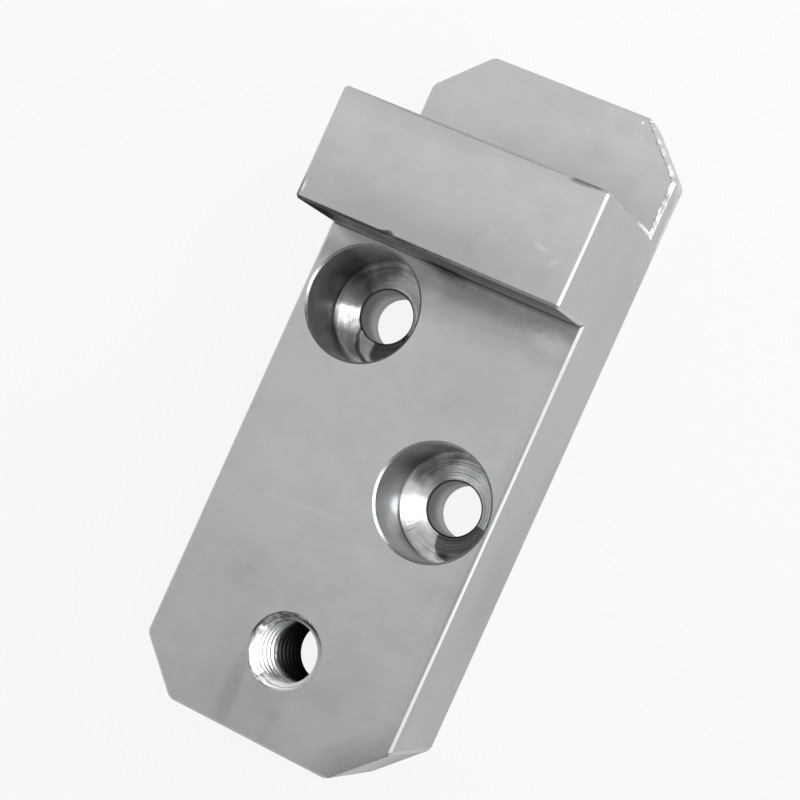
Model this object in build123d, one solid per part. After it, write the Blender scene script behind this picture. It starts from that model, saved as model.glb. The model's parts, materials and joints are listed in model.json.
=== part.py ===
from build123d import *
import os

# Mounting block, milled from one piece of bar: a thick plate, a ridge across it and a thin tongue.
# X runs across the block, Y along it towards the tongue, and Z up from the flat back face.
# The origin is the middle of the back face. All sizes are in millimetres.

# Body
block_width = 30.0
plate_length = 53.5
plate_thickness = 16.0
ridge_length = 12.5
ridge_rise = 12.5
tongue_length = 12.0
tongue_thickness = 5.0
corner_cut = 5.3

# Edges: broken outer edges, and the radius that the cutter leaves along the foot of the ridge
edge_break = 0.3
foot_radius = 0.2

# Two screw holes with flat-bottomed counterbores, one on each side of the middle and set off from each other
screw_hole_diameter = 6.0
counterbore_diameter = 12.5
counterbore_depth = 9.0
counterbore_mouth_break = 0.25
screw_hole_rim_break = 0.15
screw_hole_spread = 16.0
screw_hole_stagger = 16.0
ridge_to_screw_hole = 6.8

# Tapped hole on the middle line near the lower end
thread_diameter = 8.0
thread_pitch = 1.25
thread_mouth_break = 0.2
end_to_tapped_hole = 10.0

# Where a hole comes out through the back face
hole_exit_break = 0.3

# Places worked out from the sizes
block_length = plate_length + ridge_length + tongue_length
lower_end = -block_length / 2
upper_end = block_length / 2
ridge_front = lower_end + plate_length
ridge_back = ridge_front + ridge_length
ridge_top = plate_thickness + ridge_rise

upper_screw_hole = (-screw_hole_spread / 2, ridge_front - ridge_to_screw_hole)
lower_screw_hole = (screw_hole_spread / 2, ridge_front - ridge_to_screw_hole - screw_hole_stagger)
tapped_hole = (0.0, lower_end + end_to_tapped_hole)
tapped_bore_diameter = thread_diameter - thread_pitch
thread_mouth_diameter = thread_diameter + 2 * thread_mouth_break

same_place = 1e-4


def lies_at(edge, y, z):
    """True for an edge that runs across the block at the given place in the side view."""
    middle = edge.center()
    return abs(middle.Y - y) < same_place and abs(middle.Z - z) < same_place


def is_foot(edge):
    """True for the two inner edges where the ridge's walls meet the plate and the tongue."""
    return lies_at(edge, ridge_front, plate_thickness) or lies_at(edge, ridge_back, tongue_thickness)


def stepped_bar():
    """The side view, with the ridge standing between plate and tongue, drawn across the full width."""
    side_view = Polyline(
        (lower_end, 0),
        (upper_end, 0),
        (upper_end, tongue_thickness),
        (ridge_back, tongue_thickness),
        (ridge_back, ridge_top),
        (ridge_front, ridge_top),
        (ridge_front, plate_thickness),
        (lower_end, plate_thickness),
        close=True,
    )
    return extrude(Plane.YZ * make_face(side_view), block_width / 2, both=True)


def cut_corners(bar):
    """The four upright corners of the outline, cut off at 45 degrees."""
    corners = [
        edge for edge in bar.edges().filter_by(Axis.Z) if abs(abs(edge.center().Y) - upper_end) < same_place
    ]
    return chamfer(corners, corner_cut)


def break_edges(bar):
    """A small 45 degree break along each outer edge, which leaves out the foot of both walls."""
    return chamfer([edge for edge in bar.edges() if not is_foot(edge)], edge_break)


def round_feet(bar):
    """The cutter's small radius along the foot of both walls of the ridge."""
    return fillet([edge for edge in bar.edges().filter_by(Axis.X) if is_foot(edge)], foot_radius)


def turned(outline, place):
    """The solid of revolution of a half outline, given as radius and height, about an upright axis."""
    half = make_face(Polyline(*outline, close=True))
    return Pos(place[0], place[1], 0) * revolve(Plane.XZ * half, Axis.Z)


def counterbored_hole(place):
    """What the tools take away: mouth, flat-bottomed counterbore, screw hole with its rim, and exit."""
    bore = counterbore_diameter / 2
    hole = screw_hole_diameter / 2
    mouth = bore + counterbore_mouth_break
    rim = hole + screw_hole_rim_break
    bore_floor = plate_thickness - counterbore_depth
    return turned(
        [
            (0, plate_thickness),
            (mouth, plate_thickness),
            (bore, plate_thickness - counterbore_mouth_break),
            (bore, bore_floor),
            (rim, bore_floor),
            (hole, bore_floor - screw_hole_rim_break),
            (hole, hole_exit_break),
            (hole + hole_exit_break, 0),
            (0, 0),
        ],
        place,
    )


def tapped_bore(place):
    """The bore that the thread is cut in, countersunk to just over the thread at both ends."""
    bore = tapped_bore_diameter / 2
    mouth = thread_mouth_diameter / 2
    return turned(
        [
            (0, plate_thickness),
            (mouth, plate_thickness),
            (bore, plate_thickness - (mouth - bore)),
            (bore, mouth - bore),
            (mouth, 0),
            (0, 0),
        ],
        place,
    )


def mounting_block():
    """The whole block, with its holes drilled last, as they are on the real one."""
    block = round_feet(break_edges(cut_corners(stepped_bar())))
    block = block - counterbored_hole(upper_screw_hole)
    block = block - counterbored_hole(lower_screw_hole)
    return block - tapped_bore(tapped_hole)


os.makedirs("parts", exist_ok=True)
export_step(mounting_block(), "parts/mounting_block.step")
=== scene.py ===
"""Looks of the machined mounting block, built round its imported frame.

The block is one piece of milled and ground steel. Its mesh is made here from the frame's own
sizes, with the broken edges, the drilled counterbores and the helical thread of the real one,
and it stands for the frame's single node. Lengths are in metres in the frame's own axes: X runs
across the block, Y along it towards the tongue, and Z up from the flat back face. The materials
and the marks in them work in millimetres and degrees.
"""

import json
import logging
import math
from dataclasses import dataclass
from enum import Enum

import bmesh
import bpy
from bmesh.types import BMEdge, BMesh, BMFace, BMVert
from mathutils import Matrix, Vector, noise


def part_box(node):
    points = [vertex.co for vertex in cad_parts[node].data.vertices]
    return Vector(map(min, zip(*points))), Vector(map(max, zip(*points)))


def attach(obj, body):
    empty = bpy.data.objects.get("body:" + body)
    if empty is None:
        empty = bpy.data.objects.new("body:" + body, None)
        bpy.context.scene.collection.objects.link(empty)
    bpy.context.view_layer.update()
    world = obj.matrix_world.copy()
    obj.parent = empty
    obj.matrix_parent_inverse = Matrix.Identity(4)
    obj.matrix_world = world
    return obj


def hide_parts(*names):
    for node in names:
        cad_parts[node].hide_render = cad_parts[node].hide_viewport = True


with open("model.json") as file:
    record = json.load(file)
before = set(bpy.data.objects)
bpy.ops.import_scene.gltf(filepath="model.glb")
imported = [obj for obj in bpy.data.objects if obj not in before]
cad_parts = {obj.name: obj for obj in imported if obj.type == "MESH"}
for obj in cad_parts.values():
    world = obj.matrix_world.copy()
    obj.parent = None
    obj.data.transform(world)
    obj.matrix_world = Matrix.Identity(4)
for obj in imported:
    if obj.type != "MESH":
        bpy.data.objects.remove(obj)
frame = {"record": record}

log = logging.getLogger("mounting_block")

Pair = tuple[float, float]
Triple = tuple[float, float, float]

MM = 0.001
NODE = "mounting_block"
BODY = "root"

# Two points nearer than this are one, and two directions with this cosine between them agree.
SAME_PLACE = 1e-6
SAME_WAY = 0.999


class Surface(Enum):
    """The kinds of surface on the block. Each has its own finish, in this order."""

    GROUND = 0
    EDGE = 1
    BORED = 2
    THREAD = 3


class Region(Enum):
    """The parts of the surface that a mark can lie on, each with two directions of its own.

    The level faces have X and Y, the ridge's front wall X and Z, and the right side Y and Z. The
    walls of the holes have degrees round the axis and the height, the counterbores' floors X and Y
    from the axis, and their sectors degrees round the axis and the distance from it.
    """

    PLATE = 0
    RIDGE = 1
    TONGUE = 2
    FRONT_WALL = 3
    RIGHT_SIDE = 4
    UPPER_BORE = 5
    UPPER_FLOOR = 6
    UPPER_SECTOR = 7
    LOWER_BORE = 8
    LOWER_FLOOR = 9
    LOWER_SECTOR = 10
    TAPPED_WALL = 11


class Link:
    """A number, colour or vector on its way through a material, with Python's own operators."""

    def __init__(self, nodes: "Nodes", socket: bpy.types.NodeSocket) -> None:
        """Wraps an output socket of one of the nodes."""
        self.nodes = nodes
        self.socket = socket

    def math(self, operation: str, *others: "Link | float") -> "Link":
        """The result of a Math node whose first value is this one."""
        return self.nodes.make("Math", {"operation": operation}, self, *others)

    def __add__(self, other: "Link | float") -> "Link":
        """This value plus the other."""
        return self.math("ADD", other)

    __radd__ = __add__

    def __sub__(self, other: "Link | float") -> "Link":
        """This value less the other."""
        return self.math("SUBTRACT", other)

    def __rsub__(self, other: float) -> "Link":
        """A number less this value."""
        return self.scaled(-1.0, other)

    def __mul__(self, other: "Link | float") -> "Link":
        """This value times the other."""
        return self.math("MULTIPLY", other)

    __rmul__ = __mul__

    def __abs__(self) -> "Link":
        """This value without its sign."""
        return self.math("ABSOLUTE")

    def scaled(self, factor: "Link | float", offset: "Link | float") -> "Link":
        """This value times the factor, plus the offset."""
        return self.math("MULTIPLY_ADD", factor, offset)

    def least(self, other: "Link | float") -> "Link":
        """The lesser of this value and the other."""
        return self.math("MINIMUM", other)

    def most(self, other: "Link | float") -> "Link":
        """The greater of this value and the other."""
        return self.math("MAXIMUM", other)

    def length_with(self, other: "Link") -> "Link":
        """The length of a line that goes as far as this value one way and the other value across."""
        return self.scaled(self, other * other).math("SQRT")

    def parts(self) -> tuple["Link", ...]:
        """The three parts of this vector."""
        node = self.nodes.make("SeparateXYZ", None, self).socket.node
        return tuple(Link(self.nodes, socket) for socket in node.outputs)

    def stretched(self, x: float, y: float, z: float) -> "Link":
        """This vector, with each of its parts multiplied by its own number."""
        return self.nodes.make("VectorMath", {"operation": "MULTIPLY"}, self, (x, y, z))

    def step(self, low: float, high: float, rise: float = 1.0, level: float = 0.0) -> "Link":
        """A soft step from 0 at low to its rise at high, both counted from a level."""
        ends = {"From_Min": level + low, "From_Max": level + high, "To_Max": rise}
        return self.nodes.make("MapRange", {"interpolation_type": "SMOOTHSTEP"}, Value=self, **ends)


class Nodes:
    """The nodes of one material or world."""

    def __init__(self, owner: bpy.types.Material | bpy.types.World) -> None:
        """Empties a node tree and holds it.

        Args:
            owner: The material or world that it belongs to.
        """
        owner.use_nodes = True
        self.tree = owner.node_tree
        self.tree.nodes.clear()

    def make(
        self,
        kind: str,
        settings: dict | None = None,
        *first: object,
        output: str | None = None,
        **named: object,
    ) -> Link:
        """Adds any node.

        Args:
            kind: The node's type, without the leading ShaderNode.
            settings: Its own settings, which are set first.
            first: The values or links of its first sockets, in order.
            output: The name of the wanted output, or None for the first one in use.
            named: The values or links of other sockets, with _ for each space in their names.

        Returns:
            The wanted output.
        """
        node = self.tree.nodes.new("ShaderNode" + kind)
        for name, value in (settings or {}).items():
            setattr(node, name, value)
        inputs = {socket.name: socket for socket in node.inputs if socket.enabled}
        filled = list(zip(node.inputs, first))
        filled.extend((inputs[name.replace("_", " ")], value) for name, value in named.items())
        for socket, value in filled:
            if isinstance(value, Link):
                self.tree.links.new(value.socket, socket)
            else:
                socket.default_value = value
        outputs = [socket for socket in node.outputs if socket.enabled and output in (None, socket.name)]
        return Link(self, outputs[0] if outputs else None)

    def mixed(self, share: Link, first: object, second: object) -> Link:
        """The colour between two others, with the second one's share."""
        return self.make("Mix", {"data_type": "RGBA"}, Factor=share, A=first, B=second)

    def blended(self, share: Link, first: Link, second: Link) -> Link:
        """The shader between two others, with the second one's share."""
        return self.make("MixShader", None, share, first, second)


@dataclass(frozen=True)
class Grain:
    """A noise with about so many features in a millimetre along each axis."""

    scale: Triple
    detail: float = 3.0
    roughness: float = 0.6

    def at(self, place: Link) -> Link:
        """The noise about 0, mostly from -0.2 to 0.2."""
        fine = {"Scale": 1.0, "Detail": self.detail, "Roughness": self.roughness}
        return place.nodes.make("TexNoise", Vector=place.stretched(*self.scale), **fine) - 0.5


def grey(level: float) -> tuple[float, float, float, float]:
    """The grey of a level, as a colour."""
    return (level, level, level, 1.0)


def add_object(name: str, data: bpy.types.ID | BMesh) -> bpy.types.Object:
    """Makes an object and adds it to the scene.

    Args:
        name: Its name.
        data: Its light or camera, or its finished mesh, which is freed.

    Returns:
        The object.
    """
    if isinstance(data, BMesh):
        mesh, data = data, bpy.data.meshes.new(name)
        mesh.to_mesh(data)
        mesh.free()
    added = bpy.data.objects.new(name, data)
    bpy.context.scene.collection.objects.link(added)
    return added


def level_face(mesh: BMesh, z: float) -> BMFace:
    """Finds the largest level face at a height.

    Args:
        mesh: The mesh.
        z: The height.

    Returns:
        The face.
    """
    level = [face for face in mesh.faces if abs(face.normal.z) > SAME_WAY]
    level = [face for face in level if abs(face.calc_center_median().z - z) < SAME_PLACE]
    return max(level, key=lambda face: face.calc_area())


@dataclass(frozen=True)
class BlockSizes:
    """The block's sizes and places. The frame gives the main ones; the small ones are set here."""

    low: Vector
    high: Vector
    plate_top: float
    tongue_top: float
    ridge_front: float
    ridge_back: float
    upper_screw_hole: Vector
    lower_screw_hole: Vector
    tapped_hole: Vector
    screw_hole_radius: float
    counterbore_radius: float
    counterbore_floor: float
    tap_drill_radius: float
    corner_cut: float = 5.3 * MM
    edge_break: float = 0.3 * MM
    foot_radius: float = 0.2 * MM
    counterbore_mouth_break: float = 0.25 * MM
    screw_hole_rim_break: float = 0.15 * MM
    hole_exit_break: float = 0.3 * MM
    thread_radius: float = 4.0 * MM
    thread_pitch: float = 1.25 * MM
    thread_mouth_break: float = 0.2 * MM
    countersink_rim: float = 0.2 * MM

    @classmethod
    def from_frame(cls) -> "BlockSizes":
        """Reads the main sizes from the frame's box and from the mounts of its record.

        Returns:
            The sizes.
        """
        low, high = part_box(NODE)
        mounts = {mount["name"]: mount for mount in frame["record"]["mounts"]}
        places = {name: Vector(mount["pos_m"]) for name, mount in mounts.items()}
        radii = {name: mount["dims"].get("r_mm", 0.0) * MM for name, mount in mounts.items()}
        counterbore_wall = mounts["upper_counterbore"]["dims"]["length_mm"] * MM
        return cls(
            low=low,
            high=high,
            plate_top=places["plate_face"].z,
            tongue_top=places["tongue_face"].z,
            ridge_front=places["ridge_front_wall"].y,
            ridge_back=places["ridge_back_wall"].y,
            upper_screw_hole=places["upper_screw_hole"],
            lower_screw_hole=places["lower_screw_hole"],
            tapped_hole=places["tapped_hole"],
            screw_hole_radius=radii["upper_screw_hole"],
            counterbore_radius=radii["upper_counterbore"],
            counterbore_floor=places["upper_counterbore"].z - counterbore_wall / 2,
            tap_drill_radius=radii["tapped_hole"],
        )

    def in_mm(self) -> "BlockSizes":
        """The same sizes and places in millimetres."""
        return BlockSizes(**{name: size / MM for name, size in vars(self).items()})


@dataclass
class MilledShell:
    """The stepped solid with its cut corners, broken edges and ridge feet, before drilling.

    The burr's fullness and unevenness are those of the tongue's side edge and of its cut corner,
    and its noise has the strength and the fineness of each layer.
    """

    sizes: BlockSizes
    mesh: BMesh
    foot_segments: int = 4
    burr_cuts: int = 100
    burr_width: float = 0.2 * MM
    burr_reach: float = 0.16 * MM
    burr_height: float = 0.12 * MM
    burr_hang: float = 0.5
    burr_fullness: Pair = (0.65, 0.35)
    burr_unevenness: Pair = (0.7, 1.1)
    burr_noise: tuple[Pair, ...] = ((0.6, 0.8), (1.1, 1.8))
    largest_burr_face: float = MM**2
    leeway: float = 1.05
    nick_cuts: int = 80
    nick_place: float = -3.95 * MM
    nick_left: float = 1.1 * MM
    nick_right: float = 0.45 * MM
    nick_depth: float = 0.4 * MM
    nick_fall: float = 0.1 * MM

    def build(self) -> None:
        """Makes the closed shell in the mesh."""
        self.add_sharp_solid()
        feet = self.foot_edges()
        outer = [edge for edge in self.mesh.edges if edge not in feet]
        self.bevel(outer, self.sizes.edge_break, 1, Surface.EDGE)
        self.bevel(self.foot_edges(), self.sizes.foot_radius, self.foot_segments, Surface.GROUND)
        self.leave_burr()
        self.leave_nick()

    def add_sharp_solid(self) -> None:
        """Adds the solid with every edge sharp.

        It has the same 12 corners on its right and its left: 8 round the side view, and the 4 of
        its two ends, which the corner cuts set in.
        """
        s = self.sizes
        lower, upper = s.low.y + s.corner_cut, s.high.y - s.corner_cut
        corners = (
            (lower, s.low.z, 0.0),
            (upper, s.low.z, 0.0),
            (upper, s.tongue_top, 0.0),
            (s.ridge_back, s.tongue_top, 0.0),
            (s.ridge_back, s.high.z, 0.0),
            (s.ridge_front, s.high.z, 0.0),
            (s.ridge_front, s.plate_top, 0.0),
            (lower, s.plate_top, 0.0),
            (s.low.y, s.low.z, s.corner_cut),
            (s.low.y, s.plate_top, s.corner_cut),
            (s.high.y, s.low.z, s.corner_cut),
            (s.high.y, s.tongue_top, s.corner_cut),
        )
        right, left = (
            [self.mesh.verts.new((sign * (s.high.x - inset), y, z)) for y, z, inset in corners]
            for sign in (1, -1)
        )
        across = ((8, 0, 1, 10), (9, 7, 6), (6, 5), (5, 4), (4, 3), (3, 2, 11), (8, 9), (10, 11))
        for chain in across:
            self.mesh.faces.new([right[k] for k in chain] + [left[k] for k in reversed(chain)])
        for loop in (range(8), (0, 7, 9, 8), (1, 2, 11, 10)):
            self.mesh.faces.new([right[k] for k in loop])
            self.mesh.faces.new([left[k] for k in loop])
        bmesh.ops.recalc_face_normals(self.mesh, faces=self.mesh.faces)

    def edges_on(self, *lines: Pair) -> list[BMEdge]:
        """Finds the long edges on lines that run across the block.

        Args:
            lines: The Y and Z of each line.

        Returns:
            The edges.
        """
        return [
            edge
            for edge in self.mesh.edges
            for y, z in lines
            if edge.calc_length() > self.sizes.corner_cut
            and all(math.hypot(v.co.y - y, v.co.z - z) < SAME_PLACE for v in edge.verts)
        ]

    def foot_edges(self) -> list[BMEdge]:
        """The inner edges where the ridge's walls meet the plate and the tongue."""
        s = self.sizes
        return self.edges_on((s.ridge_front, s.plate_top), (s.ridge_back, s.tongue_top))

    def bevel(self, edges: list[BMEdge], width: float, segments: int, surface: Surface) -> None:
        """Breaks edges at 45 degrees, or rounds them.

        Args:
            edges: The edges.
            width: How far the new faces reach into the old ones.
            segments: The number of faces across, 1 for a plain break.
            surface: The kind of surface that they get.
        """
        shape = {"offset_type": "OFFSET", "segments": segments, "profile": 0.5, "affect": "EDGES"}
        for face in bmesh.ops.bevel(self.mesh, geom=edges, offset=width, **shape)["faces"]:
            face.smooth = segments > 1
            face.material_index = surface.value

    def divide(self, edges: list[BMEdge], cuts: int) -> tuple[set, list]:
        """Divides edges and the faces between them.

        Args:
            edges: The edges.
            cuts: The number of cuts in each.

        Returns:
            The new points and the faces.
        """
        made = bmesh.ops.subdivide_edges(self.mesh, edges=edges, cuts=cuts, use_grid_fill=True)
        points = {item for item in made["geom_inner"] if isinstance(item, BMVert)}
        return points, [item for item in made["geom"] if isinstance(item, BMFace)]

    def tongue_lines(self) -> list[tuple[Vector, Vector, Vector]]:
        """The tongue's two upper edges on its right-hand side, where a rough burr was left.

        Returns:
            For each edge its start, its direction and the level direction into the tongue.
        """
        s = self.sizes
        diagonal = math.sqrt(0.5)
        corner = Vector((s.high.x, s.high.y - s.corner_cut, 0))
        return [
            (Vector((s.high.x, s.ridge_back, 0)), Vector((0, 1, 0)), Vector((-1, 0, 0))),
            (corner, Vector((-diagonal, diagonal, 0)), Vector((-diagonal, -diagonal, 0))),
        ]

    def leave_burr(self) -> None:
        """Raises a ragged lip along the tongue's right-hand edges, as a blunt cutter leaves it."""
        s = self.sizes
        tongue = level_face(self.mesh, s.tongue_top)
        bmesh.ops.inset_region(self.mesh, faces=[tongue], thickness=self.burr_width, use_even_offset=True)
        levels = (s.tongue_top, s.tongue_top - s.edge_break)
        reach = self.leeway * (s.edge_break + self.burr_width)
        kinds = zip(self.tongue_lines(), self.burr_fullness, self.burr_unevenness)
        for (start, along, inward), fullness, unevenness in kinds:
            near = []
            for edge in self.mesh.edges:
                ends = [vert.co for vert in edge.verts]
                level = any(all(abs(end.z - z) < SAME_PLACE for end in ends) for z in levels)
                close = all((end - start).dot(inward) < reach for end in ends)
                if level and close and abs((ends[0] - ends[1]).normalized().dot(along)) > SAME_WAY:
                    near.append(edge)
            points, faces = self.divide(near, self.burr_cuts)
            for vert in points:
                place = vert.co / MM
                rough = sum(share * noise.noise(place * scale) for share, scale in self.burr_noise)
                height = max(0.0, min(1.0, unevenness * rough + fullness))
                if vert.co.z < s.tongue_top - SAME_PLACE:
                    vert.co.z -= self.burr_hang * height * self.burr_reach
                elif (vert.co - start).dot(inward) < self.leeway * s.edge_break:
                    vert.co += inward * height * self.burr_reach
                    vert.co.z += height * self.burr_height
            for face in faces:
                face.smooth = face.calc_area() < self.largest_burr_face

    def leave_nick(self) -> None:
        """Knocks the small lopsided nick into the ridge's front edge."""
        s = self.sizes
        upper, lower = (s.ridge_front + s.edge_break, s.high.z), (s.ridge_front, s.high.z - s.edge_break)
        edges = self.edges_on(upper, lower)
        points, _ = self.divide(edges, self.nick_cuts)
        for vert in points:
            away = vert.co.x - self.nick_place
            share = max(0.0, 1.0 - abs(away) / (self.nick_left if away < 0 else self.nick_right))
            if vert.co.y > s.ridge_front + SAME_PLACE:
                vert.co.y += share * self.nick_depth
            else:
                vert.co.z -= share * self.nick_fall


@dataclass
class TurnedHole:
    """A hole made by a turning tool about an upright axis."""

    place: Vector
    sizes: BlockSizes
    mesh: BMesh
    steps: int

    def turn(self, rows: list[tuple[list[float], float, Surface]], crisp: bool) -> tuple[list, list]:
        """Adds the hole's wall as rings of points with smooth faces between them.

        Args:
            rows: For each ring from the mouth down, the radius at each of its points, its height and
                the kind of surface under it.
            crisp: Whether every ring is a sharp edge, and not only the mouth and the exit.

        Returns:
            The edges of the mouth and of the exit.
        """
        rings = []
        for radii, z, _ in rows:
            ring = []
            for k, radius in enumerate(radii):
                turn = 2 * math.pi * k / len(radii)
                x, y = self.place.x + radius * math.cos(turn), self.place.y + radius * math.sin(turn)
                ring.append(self.mesh.verts.new((x, y, z)))
            rings.append(ring)
        for upper, lower, (_, _, surface) in zip(rings, rings[1:], rows):
            for k, vert in enumerate(upper):
                face = self.mesh.faces.new((upper[k - 1], vert, lower[k], lower[k - 1]))
                face.smooth = True
                face.material_index = surface.value
        edges = [[self.mesh.edges.get((vert, ring[k - 1])) for k, vert in enumerate(ring)] for ring in rings]
        for ring_edges in edges if crisp else (edges[0], edges[-1]):
            for edge in ring_edges:
                edge.smooth = False
        return edges[0], edges[-1]

    def wall(self) -> tuple[list, list]:
        """Adds the hole's wall, and returns the edges of its mouth and of its exit."""
        raise NotImplementedError


@dataclass
class CounterboredHole(TurnedHole):
    """A clear hole for a cap screw, with the fine rings of the facing tool on its counterbore's floor.

    The floor is a row of shallow teeth. In its outer part, up to the mixed share, every other tooth
    has the gentle slope.
    """

    steps: int = 128
    floor_rings: int = 72
    gentle_slope: float = math.radians(9.0)
    steep_slope: float = math.radians(25.0)
    slope_spread: float = math.radians(10.0)
    mixed_share: float = 0.4
    tooth_share: float = 0.9
    groove_width: float = 0.14 * MM
    groove_depth: float = 0.12 * MM
    floor_unevenness: float = 1.7
    wall_rings: int = 30
    wall_ring_depth: float = 0.006 * MM
    wall_unevenness: float = 1.3

    def floor_outline(self) -> list[Pair]:
        """The floor's side view, whose teeth each slope down towards the axis.

        Returns:
            The radius and the height of each corner, from the wall inwards.
        """
        s = self.sizes
        inner = s.screw_hole_radius + s.screw_hole_rim_break
        outer = s.counterbore_radius - self.groove_width
        pitch = (outer - inner) / self.floor_rings
        tooth = self.tooth_share * pitch
        corners = [
            (s.counterbore_radius, s.counterbore_floor - self.groove_depth),
            (s.counterbore_radius - self.groove_width / 2, s.counterbore_floor - self.groove_depth),
        ]
        for ring in range(self.floor_rings):
            radius = outer - ring * pitch
            spot = Vector((self.place.x / MM, self.place.y / MM, self.floor_unevenness * ring))
            gentle = ring % 2 == 0 and ring < self.mixed_share * self.floor_rings
            slope = self.gentle_slope if gentle else self.steep_slope
            slope += noise.noise(spot) * self.slope_spread
            corners.append((radius, s.counterbore_floor))
            corners.append((radius - tooth, s.counterbore_floor - tooth * math.tan(slope)))
        corners.append((inner, s.counterbore_floor))
        return corners

    def wall_outline(self) -> list[Pair]:
        """The counterbore wall's side view, with the faint rings that the same tool leaves.

        Returns:
            The radius and the height of each corner, from the mouth down.
        """
        s = self.sizes
        top = s.plate_top - s.counterbore_mouth_break
        corners = []
        for ring in range(self.wall_rings):
            spot = Vector((self.place.y / MM, self.wall_unevenness * ring, self.place.x / MM))
            ripple = noise.noise(spot) * self.wall_ring_depth if ring else 0.0
            height = top + (s.counterbore_floor - top) * ring / self.wall_rings
            corners.append((s.counterbore_radius + ripple, height))
        return corners

    def wall(self) -> tuple[list, list]:
        """Adds the mouth, the counterbore, its floor, the hole and its exit.

        Returns:
            The edges of its mouth and of its exit.
        """
        s = self.sizes
        hole = s.screw_hole_radius
        outline = [
            (s.counterbore_radius + s.counterbore_mouth_break, s.plate_top, Surface.EDGE),
            *((radius, z, Surface.BORED) for radius, z in self.wall_outline() + self.floor_outline()),
            (hole, s.counterbore_floor - s.screw_hole_rim_break, Surface.BORED),
            (hole, s.hole_exit_break, Surface.EDGE),
            (hole + s.hole_exit_break, s.low.z, Surface.EDGE),
        ]
        return self.turn([([radius] * self.steps, z, surface) for radius, z, surface in outline], True)


@dataclass
class TappedHole(TurnedHole):
    """The hole with a right-hand thread, just countersunk at both ends and torn at its mouth.

    Each of the tears has its middle round the axis, as a share of a turn, its half width and its
    strength. They lie mostly on the side away from the ridge's right-hand end.
    """

    steps: int = 120
    rows_per_turn: int = 24
    start_turn: float = 0.2
    flank_angle: float = math.radians(30)
    crest_round: float = 0.06 * MM
    tears: tuple[Triple, ...] = ((0.36, 0.16, 1.0), (0.68, 0.08, 0.7))
    tear_lead: float = 0.1 * MM
    tear_depth: float = 3.0 * MM
    tear_reach: float = 0.2 * MM
    tear_fullness: float = 1.5
    tear_contrast: float = 2.5
    tear_noise: Pair = (6.0, 3.0)

    def groove(self, share: float) -> float:
        """How deep the thread is cut into the bore's wall.

        Args:
            share: The place within one pitch, from 0 to 1, with the groove's middle at 0.5.

        Returns:
            The depth.
        """
        s = self.sizes
        deepest = s.thread_radius - s.tap_drill_radius
        flank = deepest * math.tan(self.flank_angle)
        root_half = s.thread_pitch / 16
        crest_half = s.thread_pitch / 2 - root_half - flank
        from_middle = abs(share - 0.5) * s.thread_pitch
        dome = self.crest_round * min(1.0, (s.thread_pitch / 2 - from_middle) / crest_half) ** 2
        return min(deepest, max(0.0, deepest * (1.0 - (from_middle - root_half) / flank)) + dome)

    def tear(self, turn: float, depth: float) -> float:
        """How far the tap has torn the metal away near the mouth.

        Args:
            turn: The place round the axis, from 0 to 1.
            depth: The depth under the plate's face.

        Returns:
            The tear's depth.
        """
        fade = max(0.0, 1.0 - depth / self.tear_depth) * min(1.0, depth / self.tear_lead)
        side = sum(share * max(0.0, 1.0 - abs(turn - middle) / half) for middle, half, share in self.tears)
        angle = 2 * math.pi * turn
        round_axis, downwards = self.tear_noise
        spot = Vector((round_axis * math.cos(angle), round_axis * math.sin(angle), downwards * depth / MM))
        torn = max(0.0, self.tear_contrast * noise.noise(spot))
        return self.tear_reach * fade * min(1.0, self.tear_fullness * side) * torn

    def wall(self) -> tuple[list, list]:
        """Adds the thread from the mouth down to the exit.

        Returns:
            The edges of its mouth and of its exit.
        """
        s = self.sizes
        height = s.plate_top - s.low.z
        mouth = s.thread_radius + s.thread_mouth_break
        count = round(self.rows_per_turn * height / s.thread_pitch)
        rows = []
        for row in range(count + 1):
            depth = height * row / count
            run_in = min(depth, height - depth)
            countersink = mouth - run_in - max(0.0, run_in - s.countersink_rim)
            radii = []
            for k in range(self.steps):
                turn = k / self.steps
                cut = self.groove((depth / s.thread_pitch + turn + self.start_turn) % 1)
                radii.append(max(countersink, s.tap_drill_radius + cut) + self.tear(turn, depth))
            rows.append((radii, s.plate_top - depth, Surface.THREAD))
        return self.turn(rows, False)


@dataclass(frozen=True)
class SmudgeOrPaintedLight:
    """A soft mark on one region of the surface, placed and measured in that region's directions.

    Its strength is less than 0 where it lightens the surface. Many of the marks are painted shade
    and painted light, not smudges. A matte mark covers the steel with a near-black matte sheet
    instead, which is painted shade.
    """

    region: Region
    u: float
    v: float
    length: float
    width: float
    strength: float
    softness: float = 1.0
    fray: float = 0.4
    turned: float = 0.0
    matte: bool = False

    def mask(self, u: Link, v: Link, wobble: Link) -> Link:
        """How strong the mark is, which is 0 outside it.

        Args:
            u: The place in the region's first direction.
            v: The place in its second direction.
            wobble: A noise about 0, which frays the mark's edge.

        Returns:
            The strength.
        """
        sine, cosine = math.sin(math.radians(self.turned)), math.cos(math.radians(self.turned))
        along_start = -(self.u * cosine + self.v * sine) / self.length
        across_start = -(self.v * cosine - self.u * sine) / self.width
        along = u.scaled(cosine / self.length, v.scaled(sine / self.length, along_start))
        across = v.scaled(cosine / self.width, u.scaled(-sine / self.width, across_start))
        reach = wobble.scaled(self.fray, across.length_with(along))
        return reach.step(1.0, 1.0 - self.softness, self.strength)


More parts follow.
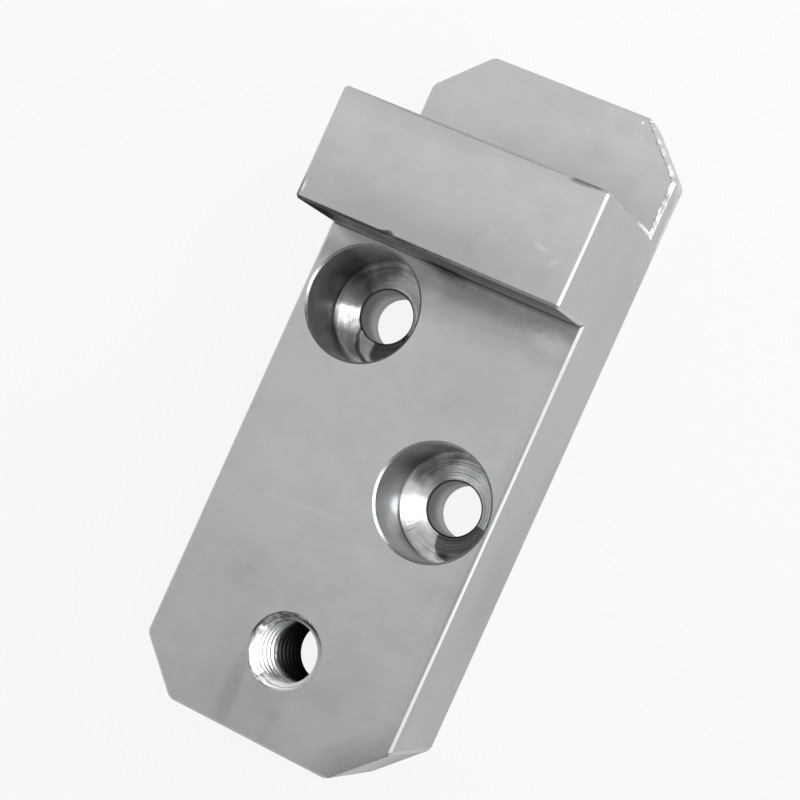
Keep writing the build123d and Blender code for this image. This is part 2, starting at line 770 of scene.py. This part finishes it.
@dataclass(frozen=True)
class RegionMap:
    """Tells where a place on the block lies in each region.

    Each pair of numbers is where a region starts and where it is whole, counted from the level or
    the radius that bounds it.
    """

    sizes: BlockSizes
    at_level: Pair = (0.35, 0.28)
    above_foot: Pair = (0.1, 0.2)
    above_floor: Pair = (0.02, 0.05)
    in_tapped_hole: Pair = (0.5, 0.4)
    in_counterbore: Pair = (0.1, 0.05)
    round_screw_hole: Pair = (-0.1, -0.05)

    def near(self, value: Link, level: float) -> Link:
        """1 at a level and 0 from a little above or under it."""
        return abs(value - level).step(*self.at_level)

    def find(self, place: Link, region: Region) -> tuple[Link, Link, Link]:
        """Finds the place in one region.

        Args:
            place: The place on the block.
            region: The region.

        Returns:
            The place in the region's two directions, and 1 inside the region or 0 outside.
        """
        s = self.sizes
        x, y, z = place.parts()
        levels = {Region.PLATE: s.plate_top, Region.RIDGE: s.high.z, Region.TONGUE: s.tongue_top}
        if region in levels:
            return x, y, self.near(z, levels[region])
        if region is Region.FRONT_WALL:
            return x, z, self.near(y, s.ridge_front) * z.step(*self.above_foot, level=s.plate_top)
        if region is Region.RIGHT_SIDE:
            return y, z, self.near(x, s.high.x)
        if region is Region.TAPPED_WALL:
            hole = s.tapped_hole
        elif region in (Region.UPPER_BORE, Region.UPPER_FLOOR, Region.UPPER_SECTOR):
            hole = s.upper_screw_hole
        else:
            hole = s.lower_screw_hole
        away_x, away_y = x - hole.x, y - hole.y
        radius = away_x.length_with(away_y)
        degrees = (away_y * -1.0).math("ARCTAN2", away_x * -1.0) * (180 / math.pi) + 180.0
        if region is Region.TAPPED_WALL:
            return degrees, z, radius.step(*self.in_tapped_hole, level=s.thread_radius)
        inside = radius.step(*self.in_counterbore, level=s.counterbore_radius)
        on_wall = z.step(*self.above_floor, level=s.counterbore_floor)
        if region in (Region.UPPER_BORE, Region.LOWER_BORE):
            return degrees, z, inside * on_wall
        rim = s.screw_hole_radius + s.screw_hole_rim_break
        on_floor = inside * (1.0 - on_wall) * radius.step(*self.round_screw_hole, level=rim)
        if region in (Region.UPPER_FLOOR, Region.LOWER_FLOOR):
            return away_x, away_y, on_floor
        return degrees, radius, on_floor


@dataclass(frozen=True)
class Finish:
    """A bare steel surface. Each kind of surface adds its own lay and its own marks."""

    name: str
    grey: float
    roughness: float
    regions: RegionMap
    smudges: tuple[SmudgeOrPaintedLight, ...]
    bump_depth: float = 0.0
    fray: Grain = Grain((0.8, 0.8, 0.8), 3.0, 0.5)
    tint: Triple = (0.985, 1.0, 1.01)
    brightest: float = 2.0
    residue_grey: float = 0.02

    def material(self) -> bpy.types.Material:
        """Makes the finish.

        Returns:
            Its material.
        """
        material = bpy.data.materials.new(self.name)
        nodes = Nodes(material)
        place = nodes.make("TexCoord", output="Object").stretched(1 / MM, 1 / MM, 1 / MM)
        tone, roughness, height = self.lay(place)
        wobble = self.fray.at(place)
        marked = dict.fromkeys(mark.region for mark in self.smudges)
        found = {region: self.regions.find(place, region) for region in marked}
        dark_cover = None
        # Each mark darkens or lightens the tone, and many of them are painted shade and painted light.
        for mark in self.smudges:
            u, v, inside = found[mark.region]
            strength = mark.mask(u, v, wobble) * inside
            if not mark.matte:
                tone = tone * (1.0 - strength)
            else:
                dark_cover = strength if dark_cover is None else dark_cover.most(strength)
        bright = tuple(self.brightest * self.grey * part for part in self.tint) + (1.0,)
        colour = nodes.mixed(tone * (1.0 / self.brightest), grey(0.0), bright)
        values = {"Base_Color": colour, "Roughness": roughness, "Metallic": 1.0}
        if self.bump_depth:
            values["Normal"] = nodes.make("Bump", Strength=1.0, Distance=self.bump_depth, Height=height)
        surface = nodes.make("BsdfPrincipled", **values)
        if dark_cover is not None:
            # The near-black matte sheet is painted shade.
            dark_sheet = nodes.make("BsdfDiffuse", Color=grey(self.residue_grey))
            surface = nodes.blended(dark_cover, surface, dark_sheet)
        nodes.make("OutputMaterial", Surface=surface)
        return material

    def lay(self, place: Link) -> tuple[Link, Link, Link]:
        """The marks that the surface has all over, as its tone about 1, roughness and height."""
        raise NotImplementedError


@dataclass(frozen=True)
class GroundSteel(Finish):
    """The flat outer faces: a fine lay across the block, mottling, a rougher wall before the ridge with
    painted shade on it, painted shade on the sides and a painted shading gradient across the ridge's top.
    """

    lay_across: Grain = Grain((0.12, 5.0, 5.0))
    lay_along: Grain = Grain((5.0, 0.12, 5.0))
    mottling: Grain = Grain((0.45, 0.45, 0.45), 4.0, 0.55)
    patches: Grain = Grain((0.16, 0.2, 0.2), 2.0, 0.5)
    lay_strength: float = 0.1
    mottle_strength: float = 0.16
    patch_strength: float = 0.14
    facing: Pair = (0.4, 0.9)
    side_shade: float = 0.08
    wall_shade: float = 0.4
    wall_height: Pair = (0.0, 0.3)
    ridge_height: Pair = (-0.6, -0.3)
    ridge_slope: float = 0.008
    wall_roughness: float = 0.2
    mottle_roughness: float = 0.12
    lay_roughness: float = 0.06

    def lay(self, place: Link) -> tuple[Link, Link, Link]:
        """The lay, the mottling, the rougher wall with its painted shade, painted shade on the sides and the
        painted shading gradient across the ridge's top.

        Args:
            place: The place on the block.

        Returns:
            The tone about 1, the roughness, and the height of the relief.
        """
        s = self.regions.sizes
        _, y, z = place.parts()
        facing_x, facing_y, _ = place.nodes.make("TexCoord", output="Normal").parts()
        on_side = abs(facing_x).step(*self.facing)
        on_wall = (facing_y * -1.0).step(*self.facing) * z.step(*self.wall_height, level=s.plate_top)
        on_ridge = z.step(*self.ridge_height, level=s.high.z)
        lay_across = self.lay_across.at(place)
        lay = lay_across + (self.lay_along.at(place) - lay_across) * on_side
        mottle = self.mottling.at(place)
        tone = 1.0 + lay * self.lay_strength + mottle * self.mottle_strength
        tone = tone + self.patches.at(place) * self.patch_strength
        # Painted shade on the ridge's front wall and on the sides; next, a painted shading gradient across
        # the ridge's top.
        tone = tone * (1.0 - on_wall * self.wall_shade) * (1.0 - on_side * self.side_shade)
        middle = (s.ridge_front + s.ridge_back) / 2
        tone = tone + on_ridge * (y - middle) * self.ridge_slope
        roughness = self.roughness + mottle * self.mottle_roughness + lay * self.lay_roughness
        return tone, roughness + on_wall * self.wall_roughness, lay


@dataclass(frozen=True)
class FiledEdge(Finish):
    """The narrow broken edges, cut brighter than the faces beside them."""

    file_marks: Grain = Grain((2.2, 2.2, 2.2))
    file_strength: float = 0.3
    file_roughness: float = 0.2

    def lay(self, place: Link) -> tuple[Link, Link, Link]:
        """Short file marks.

        Args:
            place: The place on the block.

        Returns:
            The tone about 1, the roughness, and the height of the relief.
        """
        filed = self.file_marks.at(place)
        return 1.0 + filed * self.file_strength, self.roughness + filed * self.file_roughness, filed


@dataclass(frozen=True)
class BoredSteel(Finish):
    """The counterbores and screw holes, with the fine rings that a turning tool leaves.

    The rings' grain goes by the distance from the axis, the height, and X plus Y.
    """

    rings: Grain = Grain((6.0, 6.0, 0.15), 3.0, 0.65)
    mottling: Grain = Grain((0.8, 0.8, 0.8))
    ring_strength: float = 0.3
    mottle_strength: float = 0.25
    mottle_roughness: float = 0.15
    in_hole: Pair = (0.03, 0.01)
    hole_shade: float = 0.3
    hole_light: float = 2.2
    light_height: Pair = (4.9, 1.05)
    rim_reach: Pair = (0.195, 0.165)
    rim_height: Pair = (-0.6, -0.45)
    rim_shade: float = 0.6
    wall_roughness: float = 0.16

    def lay(self, place: Link) -> tuple[Link, Link, Link]:
        """Rings about the nearest hole's axis, mottling, and in the screw hole painted shade, painted light
        towards its exit and painted shade on its rim.

        Args:
            place: The place on the block.

        Returns:
            The tone about 1, the roughness, and the height of the relief.
        """
        s = self.regions.sizes
        x, y, z = place.parts()
        axes = (s.upper_screw_hole, s.lower_screw_hole)
        upper, lower = ((x - axis.x).length_with(y - axis.y) for axis in axes)
        from_axis = upper.least(lower)
        rings = self.rings.at(place.nodes.make("CombineXYZ", X=from_axis, Y=z, Z=x + y))
        mottle = self.mottling.at(place)
        hole, floor = s.screw_hole_radius, s.counterbore_floor
        in_hole = from_axis.step(*self.in_hole, level=hole)
        lit = in_hole * z.step(*self.light_height)
        on_rim = from_axis.step(*self.rim_reach, level=hole) * z.step(*self.rim_height, level=floor)
        tone = 1.0 + rings * self.ring_strength + mottle * self.mottle_strength
        # Painted shade in the screw hole, painted light towards its exit, and painted shade on its rim.
        tone = tone * (1.0 - in_hole * self.hole_shade) * (1.0 + lit * self.hole_light)
        tone = tone * (1.0 - on_rim * self.rim_shade)
        on_wall = z.step(*self.regions.above_floor, level=floor)
        roughness = self.roughness + mottle * self.mottle_roughness + on_wall * self.wall_roughness
        return tone, roughness, rings


@dataclass(frozen=True)
class CutThread(Finish):
    """The tapped thread: bright and slightly torn near its mouth, and darker further down with painted
    shade.
    """

    tears: Grain = Grain((1.6, 1.6, 5.0))
    tear_strength: float = 0.4
    tear_roughness: float = 0.2
    on_crest: Pair = (0.12, 0.03)
    crest_roughness: float = 0.65
    oil_depth: Pair = (5.9, 8.2)
    oil_fray: float = 2.4
    oil_strength: float = 0.95

    def lay(self, place: Link) -> tuple[Link, Link, Link]:
        """Small tears along the flanks, rough crests and the painted shade of the depth.

        Args:
            place: The place on the block.

        Returns:
            The tone about 1, the roughness, and the height of the relief.
        """
        s = self.regions.sizes
        x, y, z = place.parts()
        from_axis = (x - s.tapped_hole.x).length_with(y - s.tapped_hole.y)
        crest = from_axis.step(*self.on_crest, level=s.tap_drill_radius)
        torn = self.tears.at(place)
        # Painted shade deeper in the hole, frayed by the tears.
        in_deep_shade = (s.plate_top - z + torn * self.oil_fray).step(*self.oil_depth)
        tone = (1.0 + torn * self.tear_strength) * (1.0 - in_deep_shade * self.oil_strength)
        return tone, self.roughness + torn * self.tear_roughness + crest * self.crest_roughness, torn


def marks(region: Region, *rows: tuple[float, ...]) -> tuple[SmudgeOrPaintedLight, ...]:
    """The marks on a region, with a row for each that has a smudge's values in their order."""
    return tuple(SmudgeOrPaintedLight(region, *row) for row in rows)


# Stains and wipe marks at the lower end, scratches, worn spots and soft changes of tone along the faces,
# with painted shade and light: painted shade along the foot of the ridge, by the plate's right edge and
# its lower right corner, along the ridge's front and back and on the tongue beside the ridge, painted
# light and shade on the ridge's front wall, and a painted highlight by the foot of the ridge's back wall.
OUTER_MARKS_AND_SHADE = (
    # On the plate, the bands along the ridge's foot, the marks by the right edge and the one at the lower
    # right corner are painted shade.
    *marks(
        Region.PLATE,
        (-0.8, -36, 9, 7, 0.12, 1, 0.4, 90), (-5.6, -33, 8, 3.6, 0.06, 1, 0.4, 90),
        (-3.7, -35, 6, 1.3, 0.13, 0.6, 0.3, 93), (1.8, -36.2, 5, 1.2, 0.07, 1, 0.5, 87),
        (-7.5, -21.5, 4, 2, 0.06, 0.75, 1.2, -20), (-4.2, -14.4, 6.4, 0.4, -0.06, 0.8, 0.8, 6),
        (8.6, -25.1, 3.6, 0.35, -0.06, 0.8, 0.8, 11), (12.35, -36.35, 14, 4, 0.31, 1, 0.2, 45),
        (-1, 12.5, 42, 1.8, 0.3, 1, 0.5, 3), (0, 11.4, 42, 3.8, 0.18), (-0.4, 14.5, 4.2, 1.3, 0.6, 0.8),
        (6.5, 14.35, 17, 0.5, 0.4, 0.8, 0.2), (0.5, 13.6, 7, 0.8, 0.2),
        (10.7, 12.4, 1.1, 0.3, 0.1, 0.8, 0.8, 20), (12.5, 12, 3.5, 2, -0.25, 0.8),
        (-1.5, 12, 2, 1.5, -0.2, 0.8), (7, 3.5, 10, 6.5, 0.07), (-6, -12, 11, 9, -0.05),
        (-8, -24, 6, 3, 0.08, 1, 0.6, -10), (5.6, -31.5, 4, 3, 0.11),
        (14.2, -12, 30, 1.4, 0.1, 1, 0.3, 90), (14.65, -12, 27, 0.35, 0.2, 0.8, 0.1, 90),
    ),
    # On the ridge's front wall, painted light low down and at the right, painted shade higher up and in a
    # spot near the middle, and a near-black matte mark at its left end that is painted shade.
    *marks(
        Region.FRONT_WALL,
        (0, 16.2, 60, 5.5, -1.3, 1, 0.3), (0, 26, 60, 3, 0.2, 1, 0.3), (-1.2, 16.2, 3.8, 5, 0.9, 0.8),
        (-15.6, 24, 5.4, 18, 0.92, 0.5, 0.3, -17, True), (11, 21, 10, 6, -0.35),
    ),
    # On the ridge's top, the bands along its front and back are painted shade, and the dark line at the
    # right end of its back edge is a painted reflection.
    *marks(
        Region.RIDGE,
        (-2, 15.6, 22, 5, 0.17, 1, 0.3), (-3, 27, 26, 2.6, 0.1, 1, 0.3),
        (11, 19.4, 1.2, 0.4, -0.14, 0.9, 1.6, -11), (12.9, 18.6, 0.9, 0.5, -0.14, 0.9, 1.6, 40),
        (-14.5, 15.9, 0.2, 0.9, -0.7, 0.8, 0.3), (12, 26.68, 2.1, 0.32, 0.45, 0.7, 0.5),
    ),
    # On the tongue, the band beside the ridge is painted shade, and the light line by the foot of the
    # ridge's back wall is a painted highlight.
    *marks(
        Region.TONGUE,
        (4, 29, 30, 6.5, 0.14, 1, 0.3), (8.9, 38.2, 0.3, 0.2, -0.6, 0.6, 0.6),
        (9.5, 36.7, 1.1, 0.25, -0.1, 0.8, 0.8, 114), (14, 27.6, 1.5, 0.25, -0.9, 0.6, 0.3, -23),
    ),
    *marks(
        Region.RIGHT_SIDE,
        (-14, 5, 13, 10, 0.14, 1, 0.3), (-33, 10.5, 5.5, 9, -0.12, 1, 0.3),
        (19, 7, 9, 10, 0.06, 1, 0.3), (-2, 2, 9, 4, 0.09, 1, 0.3), (30, 0.4, 6, 1.5, -0.6, 0.9, 1.4),
        (33.2, 2.2, 1.2, 1.7, -0.35, 0.8, 1.4), (-25.7, 3.6, 0.45, 0.3, 0.4, 0.6, 0.6),
        (-27.5, 9.5, 3.2, 0.25, -0.1, 0.8, 1, 35), (-32, 7, 1.4, 0.4, -0.12, 0.8, 1, 80),
    ),
)

# Painted shade and painted light on the broken edges, which dim or brighten their highlights, and a bright
# spot at the nick in the ridge's front edge.
EDGE_LIGHT_AND_SHADE = (
    *marks(
        Region.PLATE,
        (14.7, -12, 27, 0.14, 0.55, 0.8, 0.1, 90),
    ),
    *marks(
        Region.RIDGE,
        (14.7, 21, 8, 0.14, 0.5, 0.8, 0.1, 90), (12.6, 26.8, 2.3, 0.6, 0.6, 0.5, 0.6),
        (0, 27, 16, 0.5, 0.25, 0.5, 0.6), (-8, 14.5, 18, 0.8, 0.75, 0.8, 0.3),
        (-15, 15.2, 0.6, 2.4, 0.75, 0.6, 0.3), (-4, 15.1, 1.3, 0.6, -0.7, 0.4, 0.3),
    ),
    *marks(
        Region.TONGUE,
        (14.8, 30.5, 4.4, 0.7, 0.4, 1, 3, 90),
    ),
    *marks(
        Region.RIGHT_SIDE,
        (-12, 15.9, 40, 1, 0.2, 0.5, 0.3), (16, 15.9, 36, 1, 0.24, 0.9),
        (20.2, 28.4, 12, 1, 0.22, 0.5, 0.3),
    ),
)

# Painted light and painted shade in the counterbores: the light that their walls catch, dimmed and
# softened highlights on their floors, dark lines at the foot of their walls, and a painted dark
# reflection on each floor.
UPPER_BORE_LIGHT_AND_SHADE = (
    *marks(
        Region.UPPER_BORE,
        (188, 10, 24, 6, -0.5), (142, 8.5, 20, 3.5, -0.6), (124, 10.5, 13, 7, -1.2, 1, 0.3),
        (168, 8.8, 14, 3.2, -0.9), (203, 7.2, 11, 1.9, -0.6), (108, 11.5, 22, 9, -1.9, 1, 0.3),
        (295, 9.5, 50, 9, -1, 0.6, 0.3),
    ),
    *marks(
        Region.UPPER_SECTOR,
        (239, 4.1, 8, 0.8, -0.6), (122, 6.05, 30, 0.5, 0.45, 0.8), (82, 5.5, 16, 0.35, 0.4, 0.8, 0.6),
        (196, 5.8, 22, 0.6, 0.55, 0.8, 0.6), (235, 5.9, 40, 0.4, 0.4, 0.8), (186, 4.3, 8, 2.6, 0.5),
        (215, 3.5, 9, 1, -0.6), (213, 5.4, 14, 0.9, 0.42, 1, 0.3), (199, 4.8, 11, 1.8, 0.55, 1, 0.3),
        (136, 4.6, 9, 3.2, 0.45), (232, 3.5, 9, 0.8, -0.6), (102, 5.2, 14, 1.4, 0.35),
        (152, 5.7, 22, 1.1, 0.4, 0.9), (112, 5.5, 26, 0.9, 0.5), (120, 4.5, 18, 1.6, 0.5),
        (163, 4.8, 30, 4.4, 0.78, 0.4, 0.3), (208, 6.3, 50, 0.5, 0.75, 0.6, 0.2),
        (226, 6.3, 45, 0.9, 0.3, 0.8, 0.3), (222, 3.6, 13, 1.3, -0.9),
        (118, 5.15, 30, 0.12, -0.4, 0.8, 0.8, -0.6),
    ),
    *marks(
        Region.UPPER_FLOOR,
        (2.6, -3.2, 3.2, 2.4, 0.8, 0.2, 0.3, 30), (0.5, -2.9, 2.95, 2.95, 0.6, 0.05, 0.1),
        (0.65, -2.8, 2.7, 2.7, -2.6, 0.08, 0.3),
    ),
)

# The same painted light and shade in the lower counterbore.
LOWER_BORE_LIGHT_AND_SHADE = (
    *marks(
        Region.LOWER_BORE,
        (250, 12, 34, 8.5, -1), (132, 12, 20, 8, -0.7, 1, 0.3), (228, 7.2, 26, 1.2, -1, 1, 0.3),
        (201, 8, 14, 2.9, -1.3, 0.9, 0.3), (228, 10.5, 24, 3.5, -0.35),
    ),
    *marks(
        Region.LOWER_SECTOR,
        (146, 5.7, 26, 1.9, 0.62, 0.8), (88, 4.2, 24, 2.2, 0.35), (116, 5.75, 22, 0.6, 0.45, 0.9, 0.6),
        (162, 5.6, 15, 1, 0.5, 0.9, 0.5), (120, 5.2, 17, 0.8, 0.6, 1, 0.6),
        (222, 4.6, 9, 1, 0.3, 1, 0.8), (258, 5.4, 16, 1, 0.28, 1, 0.5),
        (236, 6.3, 42, 1.5, 0.5, 1, 0.3), (236, 4.8, 24, 1.5, 0.3), (240, 3.3, 32, 0.6, -0.25, 0.8),
        (281, 5.3, 14, 0.8, 0.7, 0.8), (166, 4.7, 12, 1, 0.22), (225, 6.2, 40, 0.2, 0.6, 0.6, 0.2),
        (222, 4.9, 1.2, 1.1, -0.9, 0.8, 0.8), (229, 5.3, 1, 0.9, 0.5, 0.8, 0.8),
    ),
    *marks(
        Region.LOWER_FLOOR,
        (2.4, -3.1, 3.1, 2.3, 0.72, 0.05, 0.1, 30),
    ),
)

# Painted shade: the dark rim of the mouth and dark patches between the first turns.
THREAD_SHADE_MARKS = (
    *marks(
        Region.TAPPED_WALL,
        (175, 16.05, 95, 0.45, 0.85, 0.5, 0.6), (42, 15.67, 64, 0.14, 0.9, 0.5, 0.1),
        (118, 14, 40, 3.6, 0.8, 1, 2.6), (238, 15.2, 26, 1.1, 0.45, 1, 2.6),
        (252, 12.4, 34, 3.2, 0.7, 1, 2.6),
    ),
)


@dataclass
class MountingBlock:
    """The whole block: the milled shell with its three holes, and the finish of each surface."""

    sizes: BlockSizes

    def holes(self, mesh: BMesh) -> tuple[TurnedHole, ...]:
        """The two counterbored holes and the tapped one.

        Args:
            mesh: The mesh that they are made in.

        Returns:
            The holes.
        """
        s = self.sizes
        upper = CounterboredHole(s.upper_screw_hole, s, mesh, mixed_share=0.15)
        return upper, CounterboredHole(s.lower_screw_hole, s, mesh), TappedHole(s.tapped_hole, s, mesh)

    def finishes(self) -> dict[Surface, Finish]:
        """The finish of each kind of surface.

        Returns:
            The finishes, in the order of the surfaces.
        """
        regions = RegionMap(self.sizes.in_mm())
        thread_fray = Grain((1.2, 1.2, 14.0), 3.0, 0.5)
        return {
            Surface.GROUND: GroundSteel("ground_steel", 0.46, 0.33, regions, OUTER_MARKS_AND_SHADE, 0.002 * MM),
            Surface.EDGE: FiledEdge("filed_edge", 0.55, 0.3, regions, EDGE_LIGHT_AND_SHADE),
            Surface.BORED: BoredSteel("bored_steel", 0.5, 0.24, regions, UPPER_BORE_LIGHT_AND_SHADE + LOWER_BORE_LIGHT_AND_SHADE),
            Surface.THREAD: CutThread("cut_thread", 0.8, 0.32, regions, THREAD_SHADE_MARKS, fray=thread_fray),
        }

    def open_face(self, mesh: BMesh, z: float, rims: tuple[list, ...]) -> None:
        """Opens a level face round the mouths or exits of the holes.

        Args:
            mesh: The mesh.
            z: The face's height.
            rims: The edges of each opening.
        """
        face = level_face(mesh, z)
        outline = [*face.edges, *(edge for rim in rims for edge in rim)]
        bmesh.ops.delete(mesh, geom=[face], context="FACES_ONLY")
        made = bmesh.ops.triangle_fill(mesh, edges=outline, use_beauty=True, use_dissolve=False)
        for item in made["geom"]:
            if isinstance(item, BMFace):
                item.smooth = False
                item.material_index = Surface.GROUND.value

    def build(self) -> bpy.types.Object:
        """Builds and dresses the block, and puts it in the frame's place.

        Returns:
            The block.
        """
        mesh = bmesh.new()
        MilledShell(self.sizes, mesh).build()
        mouths, exits = zip(*(hole.wall() for hole in self.holes(mesh)))
        self.open_face(mesh, self.sizes.plate_top, mouths)
        self.open_face(mesh, self.sizes.low.z, exits)
        bmesh.ops.recalc_face_normals(mesh, faces=mesh.faces)
        block = add_object("milled_block", mesh)
        for finish in self.finishes().values():
            block.data.materials.append(finish.material())
        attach(block, BODY)
        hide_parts(NODE)
        return block


class LampShape(Enum):
    """The outline of a soft box, with the share of its width times its height that it fills."""

    RECTANGLE = 1.0
    ELLIPSE = math.pi / 4


@dataclass(frozen=True)
class SoftLamp:
    """A soft box that hangs over the block and faces it."""

    name: str
    shape: LampShape
    azimuth: float
    elevation: float
    distance: float
    width: float
    height: float
    radiance: float

    def build(self, target: Vector) -> bpy.types.Object:
        """Hangs the lamp.

        Args:
            target: The point that it faces.

        Returns:
            The lamp.
        """
        data = bpy.data.lights.new(self.name, "AREA")
        data.shape = self.shape.name
        data.size, data.size_y = self.width, self.height
        data.energy = self.radiance * math.pi * self.shape.value * self.width * self.height
        lamp = add_object(self.name, data)
        turn, rise = math.radians(self.azimuth), math.radians(self.elevation)
        away = Vector((math.cos(turn) * math.cos(rise), math.sin(turn) * math.cos(rise), math.sin(rise)))
        lamp.location = target + away * self.distance
        lamp.rotation_mode = "QUATERNION"
        lamp.rotation_quaternion = away.to_track_quat("Z", "Y")
        lamp.visible_camera = False
        return lamp


@dataclass(frozen=True)
class Studio:
    """A pale table under an even sky that is a little darker at its near end, with its soft lamps."""

    table_size: float = 3.0
    table_white: float = 0.7
    near_table: float = 0.82
    near_table_y: Pair = (0.02, -0.04)
    seen_white: float = 0.96
    seen_share: float = 0.93
    mirrored_share: float = 0.4
    shaded_share: float = 0.1
    shaded_x: Pair = (0.013, 0.017)
    shaded_y: Pair = (0.037, 0.041)
    zenith: float = 1.0
    zenith_slope: float = 1.05
    zenith_limits: Pair = (0.5, 1.2)
    horizon: float = 0.42
    horizon_slope: float = 0.15
    horizon_height: Pair = (0.15, 0.75)
    near_shade: float = 0.65
    near_shade_y: Pair = (-0.22, -0.5)
    near_shade_height: Pair = (0.2, 0.4)
    lamp_target: Triple = (0.0, 0.0, 0.01)
    lamps: tuple[SoftLamp, ...] = (
        SoftLamp("side_softbox", LampShape.RECTANGLE, 31.0, 28.0, 0.7, 1.25, 0.55, 2.5),
        SoftLamp("high_softbox", LampShape.ELLIPSE, 30.0, 58.0, 0.7, 0.28, 0.3, 7.0),
    )

    def build(self) -> list[bpy.types.Object]:
        """Sets up the sky, the table and the lamps.

        Returns:
            The table and the lamps.
        """
        self.sky()
        return [self.table(), *(lamp.build(Vector(self.lamp_target)) for lamp in self.lamps)]

    def table(self) -> bpy.types.Object:
        """Lays the pale table that the block lies on.

        Returns:
            The table.
        """
        mesh = bmesh.new()
        bmesh.ops.create_grid(mesh, x_segments=1, y_segments=1, size=self.table_size / 2)
        material = bpy.data.materials.new("pale_table")
        nodes = Nodes(material)
        x, y, _ = nodes.make("TexCoord", output="Object").parts()
        seen = nodes.make("LightPath", output="Is Camera Ray")
        passed = nodes.make("LightPath", output="Is Transmission Ray")
        mirrored = nodes.make("LightPath", output="Is Glossy Ray")
        beside = abs(x).step(*self.shaded_x).most(abs(y).step(*self.shaded_y))
        bounced = beside * (self.mirrored_share - self.shaded_share) + self.shaded_share
        share = (seen.most(passed) * self.seen_share).most(mirrored * bounced)
        # The table is darker at its near end: painted shade, which the block's right side reflects.
        far, near = grey(self.table_white), grey(self.table_white * self.near_table)
        lit = nodes.make("BsdfDiffuse", Color=nodes.mixed(y.step(*self.near_table_y), far, near))
        white = nodes.make("Emission", Color=grey(self.seen_white), Strength=1.0)
        nodes.make("OutputMaterial", Surface=nodes.blended(share, lit, white))
        table = add_object("table", mesh)
        table.data.materials.append(material)
        return table

    def sky(self) -> None:
        """Sets the even light from all round, and the white that the camera sees."""
        world = bpy.data.worlds.new("studio")
        bpy.context.scene.world = world
        nodes = Nodes(world)
        _, y, z = nodes.make("TexCoord", output="Generated").parts()
        least, most = self.zenith_limits
        high = (y * self.zenith_slope + self.zenith).most(least).least(most)
        low = y * self.horizon_slope + self.horizon
        level = low + (high - low) * z.step(*self.horizon_height)
        near = y.step(*self.near_shade_y) * z.step(*self.near_shade_height)
        light = nodes.make("Background", Color=grey(1.0), Strength=level * (1.0 - near * self.near_shade))
        white = nodes.make("Background", Color=grey(self.seen_white), Strength=1.0)
        rays = nodes.make("LightPath", output="Is Camera Ray")
        nodes.make("OutputWorld", Surface=nodes.blended(rays, light, white))


@dataclass(frozen=True)
class StillCamera:
    """The camera, over the block's right side and turned so that the ridge runs up to the left."""

    place: Triple = (0.067936, 0.001367, 0.229397)
    right: Triple = (0.867962, 0.411493, -0.278058)
    up: Triple = (-0.393865, 0.911394, 0.119298)
    focal_length: float = 96.09
    sensor: float = 36.0
    clip: Pair = (0.01, 20.0)

    def build(self) -> bpy.types.Object:
        """Sets up the camera.

        Returns:
            The camera.
        """
        data = bpy.data.cameras.new("still_camera")
        data.lens = self.focal_length
        data.sensor_width = self.sensor
        data.clip_start, data.clip_end = self.clip
        camera = add_object("still_camera", data)
        right = Vector(self.right).normalized()
        back = right.cross(Vector(self.up)).normalized()
        turn = Matrix((right, back.cross(right), back)).transposed()
        camera.matrix_world = Matrix.Translation(Vector(self.place)) @ turn.to_4x4()
        bpy.context.scene.camera = camera
        return camera


def main() -> None:
    """Builds the block, the studio and the camera, and reports each of their pieces."""
    logging.basicConfig(level=logging.INFO, format="%(name)s: %(message)s")
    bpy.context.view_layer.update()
    bpy.context.scene.view_settings.view_transform = "Standard"
    pieces = [MountingBlock(BlockSizes.from_frame()).build(), *Studio().build(), StillCamera().build()]
    for piece in pieces:
        log.info("%s: %s at (%.3f, %.3f, %.3f)", piece.name, piece.type.lower(), *piece.location)


if __name__ == "__main__":
    main()
